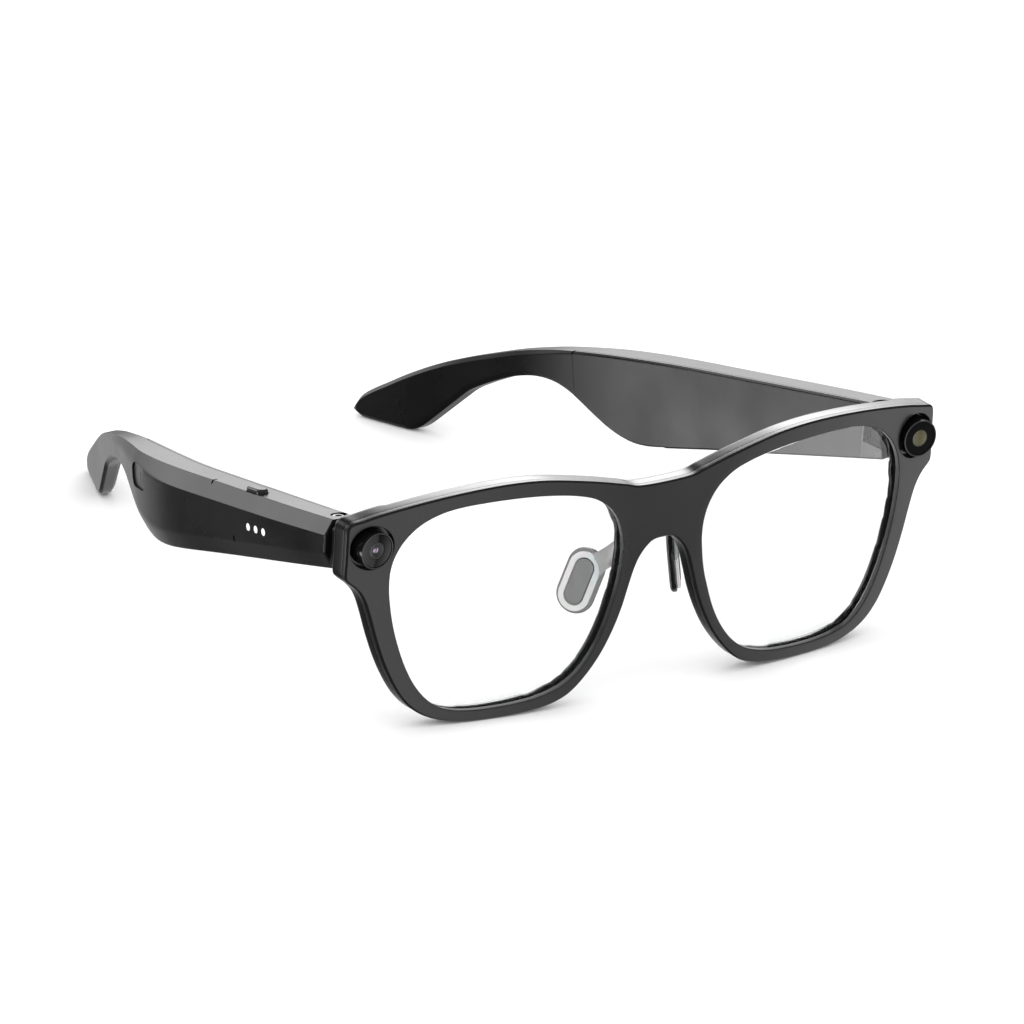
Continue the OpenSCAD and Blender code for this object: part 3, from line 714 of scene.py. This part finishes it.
def corner_points(t):
    """The eight corners of the sections at t: an array of (section, corner, xyz). The cuts
    depend on where a corner lies, so a few rounds settle it."""
    lean = 1 - smoothstep((t - UPRIGHT_TO) / UPRIGHT_FADE)
    a = np.repeat(t[:, None], 8, 1)
    for _ in range(4):
        inner, outer, top, low = (table_at(a, table) for table in (INNER_X, OUTER_X, TOP_W, LOW_W))
        most = BEVEL_SHARE * (top - low)
        inner_cut, upper_cut, lower_cut = (np.minimum(table_at(a, table), most)
                                           for table in (IN_CUT, UP_CUT_W, LOW_CUT_W))
        slanted = low + table_at(a, LOW_SLANT)
        across = [inner + inner_cut, outer - table_at(a, UP_CUT_X), outer, outer,
                  outer - table_at(a, LOW_CUT_X), inner + inner_cut, inner, inner]
        height = [top, top, top - upper_cut, slanted + lower_cut, slanted, low, low + inner_cut,
                  top - inner_cut]
        x, w = (np.stack([v[:, i] for i, v in enumerate(values)], 1)
                for values in (across, height))
        a = np.minimum(t[:, None] - lean[:, None] * TAN * w, TIP_A)
    return np.stack([x, a, w], 2)


def temple_rings(t):
    """Rounded sections: (section, point, xyz)."""
    p = corner_points(t)
    before, after = np.roll(p, 1, 1), np.roll(p, -1, 1)
    d0, d1 = before - p, after - p
    l0, l1 = np.linalg.norm(d0, axis=2), np.linalg.norm(d1, axis=2)
    u0, u1 = d0 / (l0[..., None] + 1e-9), d1 / (l1[..., None] + 1e-9)
    opened = np.arccos(np.clip((u0 * u1).sum(2), -1, 1))
    radius = np.stack([table_at(p[:, i, 1], RADII[i]) for i in range(8)], 1)
    reach = np.minimum(radius / np.tan(opened / 2), 0.45 * np.minimum(l0, l1))
    weight = np.sin(opened / 2)
    start, end = p + u0 * reach[..., None], p + u1 * reach[..., None]
    free = l1 - reach - np.roll(reach, -1, 1)
    step = np.minimum(0.3, 0.3 * free)
    rings = []
    for i in range(8):
        rings.append(start[:, i] + u0[:, i] * step[:, i - 1, None])
        for s in np.linspace(0, 1, ARC_N):
            b0, b1, b2 = (1 - s) ** 2, 2 * s * (1 - s) * weight[:, i, None], s * s
            rings.append((b0 * start[:, i] + b1 * p[:, i] + b2 * end[:, i]) / (b0 + b1 + b2))
        rings.append(end[:, i] + u1[:, i] * step[:, i, None])
    rings = np.stack(rings, 1)
    a = rings[..., 1]
    round_off = np.clip((a - TIP_ROUND) / TIP_FADE, 0, 1)
    mid = (table_at(a, INNER_X) + table_at(a, OUTER_X)) / 2
    rings[..., 0] = mid + (rings[..., 0] - mid) * np.sqrt(1 - 0.35 * round_off ** 2)
    return rings


def drawn_in(ring, inset):
    """The ring moved inward in its plane."""
    v = np.roll(ring, -1, 0) - np.roll(ring, 1, 0)
    n = np.stack([v[:, 2], np.zeros(len(ring)), -v[:, 0]], 1)
    n /= np.linalg.norm(n, axis=1)[:, None]
    centre = ring.mean(0)
    if ((centre - ring) * n).sum() < 0:
        n = -n
    return ring + n * inset


def temple_solid():
    """The whole temple without its cuts; its front edge is rounded."""
    t = np.concatenate([np.arange(FRONT_T + 0.5, 132, 0.8), np.arange(132, 137, 0.4),
                        np.arange(137, 138.75, 0.15), [138.75]])
    rings = list(temple_rings(t))
    first = [drawn_in(temple_rings(np.array([FRONT_T + d]))[0], i)
             for i, d in ((0.4, 0.0), (0.22, 0.02), (0.1, 0.08), (0.03, 0.18), (0.0, 0.32))]
    rings = first + rings
    n, m = len(rings[0]), len(rings)
    verts = np.vstack(rings + [rings[0].mean(0)[None], rings[-1].mean(0)[None]])
    faces = [(j * n + i, j * n + (i + 1) % n, (j + 1) * n + (i + 1) % n, (j + 1) * n + i)
             for j in range(m - 1) for i in range(n)]
    faces += [(m * n, (i + 1) % n, i) for i in range(n)]
    faces += [(m * n + 1, (m - 1) * n + i, (m - 1) * n + (i + 1) % n) for i in range(n)]
    return temp(verts, faces)


UPRIGHT = turn(math.degrees(DROP), "X")


def loop_tool(loop, h0, h1, frame_matrix=Matrix()):
    """A straight tool with the loop as its section."""
    return temp(*stack([loop, loop], [h0, h1], frame_matrix))


def box_tool(lo, hi, frame_matrix=Matrix()):
    (x0, y0, z0), (x1, y1, z1) = lo, hi
    loop = np.array([(x0, y0), (x1, y0), (x1, y1), (x0, y1)], float)
    return loop_tool(loop, z0, z1, frame_matrix)


def round_tool(x, y, r, z0, z1, frame_matrix):
    return loop_tool(circle_loop(x, y, r, 48), z0, z1, frame_matrix)


def strip(a0, a1, inner, outer):
    """Plan outline between two offsets: each is (table, offset)."""
    a = np.linspace(a0, a1, 60)
    lines = [np.stack([table_at(a, t) + d, a], 1) for t, d in (inner, outer)]
    return np.vstack([lines[0], lines[1][::-1]])


COVER_FRONT = 3.4  # where the inner cover starts
CAVITY = (6.2, 84)  # where the hollow starts and ends
WALL_IN, WALL, WALL_LOW = 1.3, 1.6, 2.4  # walls inside, outside and above, and below it


def cover_region(gap):
    """The room of the inner cover, grown by the gap."""
    plan = strip(1, SEAM_A + gap, (INNER_X, -3), (INNER_X, COVER_T + gap))
    region = loop_tool(plan, -30, SEAM_W + gap)
    front_cut = box_tool((30, COVER_FRONT - gap, -60), (90, 150, 60), UPRIGHT)
    return carve(region, [front_cut], "INTERSECT")


def cavity_region():
    plan = loop_tool(strip(*CAVITY, (INNER_X, WALL_IN), (OUTER_X, -WALL)), -30, 10)
    a = np.linspace(*CAVITY, 60)
    side = np.vstack([np.stack([a, table_at(a, TOP_W) - WALL], 1),
                      np.stack([a, table_at(a, LOW_W) + WALL_LOW], 1)[::-1]])
    through = Matrix(((0, 0, 1, 0), (1, 0, 0, 0), (0, 1, 0, 0), (0, 0, 0, 1)))
    return carve(plan, [loop_tool(side, 30, 90, through)], "INTERSECT")


def value(a, table):
    """One value of a table."""
    return float(table_at(np.array([float(a)]), table)[0])


def duplicate(o):
    """A copy of a solid, to be carved on its own."""
    got = o.copy()
    got.data = o.data.copy()
    bpy.context.scene.collection.objects.link(got)
    return got


TOE = 6.2  # at the button and the mark, the outer side turns in by this angle
BUTTON_A = 30.3
BUTTON_SIZE, BUTTON_GAP = (6.2, 2.6), 0.4
button_x = (value(BUTTON_A, INNER_X) + value(BUTTON_A, OUTER_X)) / 2 + 0.55
BUTTON = shift(button_x, BUTTON_A, 0) @ turn(TOE + 90, "Z")
CHARGE_A, CHARGE_W = 79.3, -4.8
CHARGE_SIZE, CHARGE_GAP = (5, 8.6, 2), 0.05  # width, height and corner radius
CHARGE = shift(value(CHARGE_A, OUTER_X), CHARGE_A, CHARGE_W) @ turn(20, "Z") @ turn(90, "Y")
MARK_A, MARK_W, MARK_STEP = 26.1, -6.6, 3.2
DOT_R, DOT_GAP = 0.8, 0.05
MARK = shift(value(MARK_A, OUTER_X) - 0.4, MARK_A, MARK_W) @ turn(TOE, "Z")
DOTS = [MARK @ shift(0, MARK_STEP * k, 0) @ turn(90, "Y") for k in (-1, 0, 1)]
SIDE_SLIT = shift(66, 35.6, -10.1) @ turn(90, "Z") @ turn(90, "X") @ turn(90, "Z")
TOP_SLIT = shift(66, 46.6, -2)
GRILLE_A = 68
GRILLE = shift(value(GRILLE_A, INNER_X) + 0.8, GRILLE_A, -22) @ turn(9, "Z") @ turn(90, "Z")
COVER_GAP, COVER_SLACK = 0.06, 0.02
SEAM_GROOVE = (0.93, 1.07)  # the seam line on top, measured from the inner side
SHANK_BORE, HEAD_BORE = 0.81, 1.75
HEAD_SEAT = -1.2


def hinge_and_seam_tools():
    """What both shells lose: the cover, the hollow, the neck's slot, the screw and the seam."""
    end = value(SEAM_A, INNER_X)
    return [cover_region(COVER_GAP), cavity_region(),
            box_tool((0, -10, -9.0), (HINGE_X + 2.8, 2.8, -2.6), UPRIGHT),
            round_tool(HINGE_X, 0, SHANK_BORE, -20, 10, UPRIGHT),
            round_tool(HINGE_X, 0, HEAD_BORE, HEAD_SEAT, 4, UPRIGHT),
            loop_tool(strip(5.2, SEAM_A, *((INNER_X, d) for d in SEAM_GROOVE)), -0.35, 2),
            box_tool((end - 1, SEAM_A - 0.25, -0.75), (end + 1.1, SEAM_A + 0.25, 1))]


def right_tools():
    """What only the right shell loses: the button's slot, slits, charging inset and dots."""
    slot = pill_loop(*(size + BUTTON_GAP for size in BUTTON_SIZE))
    return [loop_tool(slot, -3, 3, BUTTON),
            loop_tool(pill_loop(1.6, 0.6), 0, 4, TOP_SLIT),
            loop_tool(pill_loop(1.4, 0.6), 0, 6, SIDE_SLIT),
            loop_tool(square_loop(*CHARGE_SIZE, -CHARGE_GAP), -1.05, 3, CHARGE),
            *(round_tool(0, 0, DOT_R + DOT_GAP, 0, 3, place) for place in DOTS)]


solid = temple_solid()
for side, word in SIDES:
    shell = carve(duplicate(solid), hinge_and_seam_tools() + (right_tools() if side < 0 else []))
    cover = carve(duplicate(solid), [cover_region(-COVER_SLACK)], "INTERSECT")
    carve(cover, [loop_tool(pill_loop(5.8, 1.2), 0, 9, GRILLE)])
    for o, piece, finish, node in ((shell, "temple_body_", TEMPLE_SATIN, "temple_shell_"),
                                   (cover, "temple_lining_", COVER_SATIN, "temple_cover_")):
        harvest(o, piece + word, finish, side, word + "_temple", [node + word])
bpy.data.objects.remove(solid)


def temple_piece(name, solid_data, material, side, body, replaces):
    """A piece given in temple coordinates."""
    verts, faces = solid_data
    return make(name, temple_to_world(verts, side), faces, material, body, replaces)


def join_solids(parts):
    verts, faces, start = [], [], 0
    for v, f in parts:
        verts.append(v)
        faces += [tuple(i + start for i in face) for face in f]
        start += len(v)
    return np.vstack(verts), faces


button_rows = [(0, -1.4), (0, -0.5), (0, 0.2)] + edge_rows(0.4, 1.0, 0, 0.55, 8)[1:] \
    + [(0.8, 0.995), (1.1, 0.99)]
cap = slab(lambda inset: pill_loop(*BUTTON_SIZE, inset), button_rows, BUTTON)
temple_piece("button_cap", cap, BUTTON_SATIN, -1, "button", ["capture_button"])
inset_plate = slab(lambda inset: square_loop(*CHARGE_SIZE, inset),
                   edge_rows(-1.0, -0.4, 0, 0.12), CHARGE)
contact_rows = [(0, -0.84), (0, -0.5)] + edge_rows(-0.5, -0.37, 0, 0.12)[1:] + [(0.3, -0.36)]
contacts = [slab(lambda inset: pill_loop(1.9, 1.1, inset), contact_rows,
                 CHARGE @ shift(-0.3, -1.6 + d, 0)) for d in (-0.95, 0.95)]
dots = [slab(lambda inset: circle_loop(0, 0, DOT_R - inset, 40), edge_rows(0, 0.36, 0, 0.05),
             place) for place in DOTS]
for name, shape, finish, slot_name, node in (
        ("charging_inset", inset_plate, INSET_SATIN, "pad_plastic", "charge_pad"),
        ("charging_contacts", join_solids(contacts), CONTACT, "contact_metal",
         "charge_contacts"),
        ("mark_inlays", join_solids(dots), PRINT, "white_print", "mark_dots")):
    temple_piece(name, shape, finish, -1, "right_temple", [node])


def hex_loop(r):
    """Hexagon with as many points as the circles of the screw."""
    t = -2 * np.pi * np.arange(SCREW_N) / SCREW_N
    k = np.cos(np.pi / 6) / np.cos((t % (np.pi / 3)) - np.pi / 6)
    return np.stack([r * k * np.cos(t), r * k * np.sin(t)], 1)


# Screw: circles and then the hexagons of its drive, each as (radius, height over the seat)
SCREW_N = 48
SCREW_ROUND = [(0.8, -8.2), (0.8, 0.03), (1.55, 0.03), (1.55, 0.5), (1.5, 0.66), (1.38, 0.76),
               (1.2, 0.78)]
SCREW_HEX = [(0.8, 0.78), (0.72, 0.74), (0.7, 0.2)]
screw = stack([circle_loop(0, 0, r, SCREW_N) for r, _ in SCREW_ROUND]
              + [hex_loop(r) for r, _ in SCREW_HEX],
              [h for _, h in SCREW_ROUND + SCREW_HEX], UPRIGHT @ shift(HINGE_X, 0, HEAD_SEAT))
for side, word in SIDES:
    temple_piece("pivot_screw_" + word, screw, SCREW_STEEL, side, word + "_temple",
                 ["hinge_screw_" + word])

# ---------------------------------------------------------------- hinge necks
NECK_X, NECK_Z, NECK_R = (65.95, 72.2), (-9.25, -0.15), 1.1
NECK_BACK, NECK_FRONT = 4.15, 5.8  # distances ahead of the hinge axis
TONGUE_R, TONGUE_IN = 2.38, 1.58

neck_rows = [(0.5, NECK_BACK), (0.15, NECK_BACK + 0.12), (0, NECK_BACK + 0.45),
             (0, NECK_FRONT - 0.5), (0, NECK_FRONT)]
block = slab(lambda inset: square_loop(NECK_X[1] - NECK_X[0], NECK_Z[1] - NECK_Z[0], NECK_R,
                                       inset),
             neck_rows, UPRIGHT @ shift(sum(NECK_X) / 2, 0, sum(NECK_Z) / 2) @ turn(90, "X"))
t = np.linspace(0, np.pi, 24)
tongue = np.vstack([np.stack([TONGUE_R * np.cos(t), TONGUE_R * np.sin(t)], 1),
                    [(-TONGUE_IN, -3.0), (-TONGUE_IN, -4.9), (TONGUE_R, -4.9),
                     (TONGUE_R, -3.0)]]) + [HINGE_X, 0]
tongue_middle = np.array([HINGE_X + 0.4, -1.2])
lug = stack([tongue_middle + (tongue - tongue_middle) * k for k in (0.94, 0.98, 1, 1, 0.98, 0.94)],
            [-8.75, -8.7, -8.6, -3.0, -2.9, -2.85], UPRIGHT)
for side, word in SIDES:
    verts, faces = join_solids([block, lug])
    make("neck_" + word, temple_to_world(verts, side), faces, NECK_BLACK, "front",
         ["hinge_neck_" + word], 40)

# ---------------------------------------------------------------- nose pads and brackets
PAD_C, PAD_H, PAD_W = (11.8, 12.4, -29.2), 14.5, 8.2
NOSE = shift(*PAD_C) @ turn(-34.7, "Z") @ turn(-7.4, "Y") @ turn(16, "X") @ turn(90, "Y")
NOSE_OUT = np.array(NOSE.to_3x3() @ Vector((0, 0, 1)))
PAD_SIDE = 0.6  # faces less in line with the pad's direction than this cosine are its sides
# Rows of (inset, height) of the pad, its round front first, and of the hoop around it
PAD_ROWS = ([(1.7, -1.2)] + [(1.2 - 1.2 * math.sin(x), -0.45 - 0.72 * math.cos(x))
                             for x in np.linspace(0.2, math.pi / 2, 8)]
            + [(0.0, -0.1), (0.08, 0.15), (0.3, 0.28), (0.8, 0.3), (2.0, 0.3), (2.1, 0.34),
               (2.12, 0.7), (2.2, 1.0), (2.5, 1.15), (3.0, 1.19)])
HOOP_ROWS = [(0.8, 0.36), (0.72, 0.45), (0.72, 0.95), (0.8, 1.04), (1.86, 1.04), (1.93, 0.95),
             (1.93, 0.45), (1.86, 0.36)]
HOOP_C = (PAD_W - PAD_H) / 2  # centre of the hoop's round upper end
HOOP_R, HOOP_LEVEL = 2.74, 0.7  # its radius and height, at the middle of its thickness
ARM_N, ARM_STEPS = 14, 24  # points across the arm, and its sections
ARM_ROUND = 0.55  # the share of the arm's width that follows the round end of the hoop
ARM_TOP, ARM_DROP = (8.15, 4.75, -17.5), 4.4  # its upper end on the rim, and its height there
ARM_BEND = (8.6, 8.0)  # x and y that its middle is drawn towards
ARM_HALF, ARM_THINNER = 0.42, 0.1  # half thickness on the rim, and what it loses to the hoop


def pad_outline(inset):
    return pill_loop(PAD_H, PAD_W, inset, 24)


def bracket_arm():
    """The flat arm that bends from the rim to the hoop, thinner towards its long edges."""
    q = np.linspace(0, 1, ARM_N)
    angle = np.pi / 2 * np.clip(q / ARM_ROUND, 0, 1)
    along_x = HOOP_C + np.where(q < ARM_ROUND, -HOOP_R * np.cos(angle), 5.0 * (q - ARM_ROUND))
    along_y = -HOOP_R * np.sin(angle)
    hoop_line = placed(np.column_stack([along_x, along_y, np.full(ARM_N, HOOP_LEVEL)]), NOSE)
    rim_line = np.array(ARM_TOP) - np.outer(q, [0, 0, ARM_DROP])
    bend = np.column_stack([np.full(ARM_N, ARM_BEND[0]), np.full(ARM_N, ARM_BEND[1]),
                            0.45 * rim_line[:, 2] + 0.55 * hoop_line[:, 2]])
    from_edge = np.minimum(np.arange(ARM_N), ARM_N - 1 - np.arange(ARM_N))
    edge = 0.6 + 0.4 * np.minimum(1, from_edge / 1.5)
    loops = []
    for u in np.linspace(0, 1, ARM_STEPS):
        middle = (1 - u) ** 2 * rim_line + 2 * u * (1 - u) * bend + u * u * hoop_line
        away = (1 - u) * np.array([1.0, 0, 0]) + u * NOSE_OUT
        away = away / np.linalg.norm(away) * (ARM_HALF - ARM_THINNER * u)
        step = away * edge[:, None]
        loops.append(np.vstack([middle + step, (middle - step)[::-1]]))
    return np.vstack(loops), ring_faces(2 * ARM_N, ARM_STEPS)


pad_solid = slab(pad_outline, PAD_ROWS, NOSE)
hoop = stack([pad_outline(i) for i, _ in HOOP_ROWS], [h for _, h in HOOP_ROWS], NOSE, closed=True)
bracket_solid = join_solids([hoop, bracket_arm()])
for side, word in SIDES:
    pad = front_piece("soft_pad_" + word, pad_solid, SILICONE, ["nose_pad_" + word],
                      side=side)
    normal = NOSE_OUT * [side, 1, 1]
    second_material(pad, DARK_SIDE, lambda face: abs(np.dot(face.normal, normal)) < PAD_SIDE)
    bracket = front_piece("pad_arm_" + word, bracket_solid, FROSTED,
                          ["nose_bracket_" + word], side=side)
    second_material(bracket, PALE_ARM, lambda face: face.index >= len(hoop[1]))

# ---------------------------------------------------------------- parts that keep their shape
INNER_FINISH = {"camera_board": BOARD, "light_board": BOARD, "main_board": BOARD,
                "audio_board": BOARD, "processor": CHIP, "brow_cable": FLEX,
                "battery_right": FOIL, "battery_left": FOIL, "speaker_right": CAN,
                "speaker_left": CAN, "speaker_mesh_right": STEEL, "speaker_mesh_left": STEEL,
                "side_microphone": CONTACT, "top_microphone": CONTACT, "button_switch": STEEL}
for name, finish in INNER_FINISH.items():
    node = frame["nodes"][name]
    node.data.materials.clear()
    node.data.materials.append(finish)

# ---------------------------------------------------------------- floor, light and camera
FLOOR = material("paper_floor", (0.93, 0.93, 0.93), (0.75, 0.85), 0.02, 1.5, 60,
                 second=(0.92, 0.92, 0.92), specular=0.1)
FLOOR_HALF = 6.0
mesh = bpy.data.meshes.new("floor")
mesh.from_pydata([(x * FLOOR_HALF, y * FLOOR_HALF, 0)
                  for x, y in ((-1, -1), (1, -1), (1, 1), (-1, 1))], [], [(0, 1, 2, 3)])
mesh.materials.append(FLOOR)
floor = placed_object("floor", mesh)
floor.visible_glossy = False

# Soft light panels: (azimuth, elevation, inner and outer half angle, strength)
PANELS = [(-88, -22, 4, 32, 1.6), (-88, -22, 31, 32.2, 0.42), (-24, -22, 6, 29, 2.1),
          (54, 18, 15, 25, 2.4), (52, 26, 3, 15, 8.5), (108, 14, 9, 26, 2.8),
          (146, -22, 4, 13, 7.2), (80, -20, 9, 27, 0.9), (32, -52, 10, 36, 0.9)]
BASE_LIGHT = 0.08
ROOM_LIGHT = 1.8

world = bpy.data.worlds.new("studio")
bpy.context.scene.world = world
world.use_nodes = True
tree = world.node_tree
tree.nodes.clear()
link = tree.links.new
direction = node_of(tree, "TexCoord").outputs["Generated"]
total = None
for azimuth, elevation, inner, outer, strength in PANELS:
    az, el = math.radians(azimuth), math.radians(elevation)
    dot = node_of(tree, "VectorMath")
    dot.operation = "DOT_PRODUCT"
    dot.inputs[1].default_value = (math.cos(az) * math.cos(el), math.sin(az) * math.cos(el),
                                   math.sin(el))
    link(direction, dot.inputs[0])
    edge = (math.cos(math.radians(outer)), math.cos(math.radians(inner)))
    soft = ranged(tree, dot.outputs["Value"], edge, (0, strength))
    soft.interpolation_type = "SMOOTHSTEP"
    add = node_of(tree, "Math")
    add.operation = "ADD"
    if total is None:
        add.inputs[1].default_value = BASE_LIGHT
    else:
        link(total, add.inputs[1])
    link(soft.outputs["Result"], add.inputs[0])
    total = add.outputs[0]
path = node_of(tree, "LightPath")
shiny = node_of(tree, "Math")
shiny.operation = "SUBTRACT"
shiny.use_clamp = True
link(path.outputs["Is Glossy Ray"], shiny.inputs[0])
link(path.outputs["Is Transmission Ray"], shiny.inputs[1])
room = node_of(tree, "Background", Strength=ROOM_LIGHT)
panels = node_of(tree, "Background")
link(total, panels.inputs["Strength"])
mixed = node_of(tree, "MixShader")
for source, socket in ((shiny, 0), (room, 1), (panels, 2)):
    link(source.outputs[0], mixed.inputs[socket])
out = node_of(tree, "OutputWorld")
link(mixed.outputs[0], out.inputs["Surface"])

BACK = Vector((-0.5477, -0.7509, 0.3690)).normalized()
RIGHT = Vector((0.8192, -0.5711, 0.0539))
RIGHT = (RIGHT - BACK * RIGHT.dot(BACK)).normalized()
UP = BACK.cross(RIGHT)
AIM_RIGHT, AIM_UP = -31.96, -11.26  # where it looks, from the top middle of the front
DISTANCE = 4.0
VIEW_WIDTH = 208.8943 * MM
target = (Vector((0, Y0, Z0)) + RIGHT * AIM_RIGHT + UP * AIM_UP) * MM
camera_data = bpy.data.cameras.new("camera")
camera_data.type = "ORTHO"
camera_data.ortho_scale = VIEW_WIDTH
camera_data.clip_end = 20
camera = placed_object("camera", camera_data)
turned = Matrix((RIGHT, UP, BACK)).transposed().to_4x4()
camera.matrix_world = Matrix.Translation(target + BACK * DISTANCE) @ turned
bpy.context.scene.camera = camera
bpy.context.scene.view_settings.view_transform = "Standard"

bpy.context.view_layer.update()
